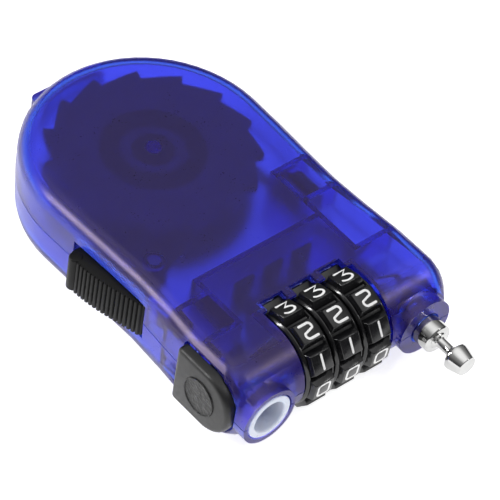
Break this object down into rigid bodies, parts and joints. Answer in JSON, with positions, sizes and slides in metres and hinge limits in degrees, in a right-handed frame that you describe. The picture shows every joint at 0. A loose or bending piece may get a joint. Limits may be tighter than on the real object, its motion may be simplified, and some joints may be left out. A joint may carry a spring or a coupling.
{
  "type": "retractable cable combination lock",
  "caption": "Flat see-through lock body with a spring-wound cable drum, plug-ended cable, number dials, release button and rewind lever.",
  "frame": {"origin": "on the outside of the back, under the cable drum's axis", "axes": "+Z out of the cover, +Y from the dials towards the drum end, +X to the right seen from the dial end"},
  "size_m": [0.0518, 0.0939, 0.0196],
  "materials": {
    "case": "satin sides, smooth cover",
    "matte_black": "matte",
    "dial_black": "gloss",
    "drum": "matte",
    "white_nylon": "satin",
    "chrome": "polished",
    "steel": "plain",
    "brass": "plain",
    "cable": "plastic-coated"
  },
  "bodies": {
    "case": {"lower_shell": "case", "upper_shell": "case", "spring_arbor": "drum", "drum_washer": "white_nylon", "mainspring": "steel", "cable_run": "cable", "cable_guide": "matte_black", "outlet_bush": "matte_black", "pin_bush": "white_nylon", "detent_spring": "matte_black", "button_spring": "steel", "pivot_screw": "steel", "lever_spring": "steel"},
    "drum": {"cable_drum": "drum", "drum_lower_flange": "drum", "cable_winding": "cable"},
    "plug": {"pin_plug": "chrome", "crimp_sleeve": "brass"},
    "button": {"release_button": "matte_black", "spindle": "brass", "latch_plate": "steel"},
    "lever": {"recoil_lever": "matte_black", "pawl": "matte_black"},
    "dial_1": {"dial_1": "dial_black", "dial_sleeve_1": "brass"},
    "dial_2": {"dial_2": "dial_black", "dial_sleeve_2": "brass"},
    "dial_3": {"dial_3": "dial_black", "dial_sleeve_3": "brass"}
  },
  "joints": [
    {"name": "dial_1_turn", "type": "hinge", "parent": "case", "child": "dial_1", "pos_m": [-0.00673, -0.0468, 0.0085], "axis": [1, 0, 0], "continuous": true},
    {"name": "dial_2_turn", "type": "hinge", "parent": "case", "child": "dial_2", "pos_m": [0, -0.0468, 0.0085], "axis": [1, 0, 0], "continuous": true},
    {"name": "dial_3_turn", "type": "hinge", "parent": "case", "child": "dial_3", "pos_m": [0.00673, -0.0468, 0.0085], "axis": [1, 0, 0], "continuous": true},
    {"name": "button_press", "type": "slide", "parent": "case", "child": "button", "axis": [1, 0, 0], "range_m": [0, 0.0012], "stiffness_N_per_m": 400, "springref_m": -0.003},
    {"name": "lever_press", "type": "hinge", "parent": "case", "child": "lever", "pos_m": [-0.0175, -0.0216, 0.0087], "axis": [0, 0, 1], "range_deg": [-10, 0], "stiffness_Nm_per_rad": 0.02, "springref_deg": 20.05},
    {"name": "drum_turn", "type": "hinge", "parent": "case", "child": "drum", "pos_m": [0, 0, 0.0085], "axis": [0, 0, 1], "range_deg": [-2610, 0], "stiffness_Nm_per_rad": 0.001, "springref_deg": 1145.92},
    {"name": "cable_pull", "type": "slide", "parent": "case", "child": "plug", "axis": [0, -1, 0], "range_m": [0, 0.702]}
  ],
  "couplings": [
    {"joint": "cable_pull", "follows": "drum_turn", "m_per_rad": -0.0154}
  ]
}
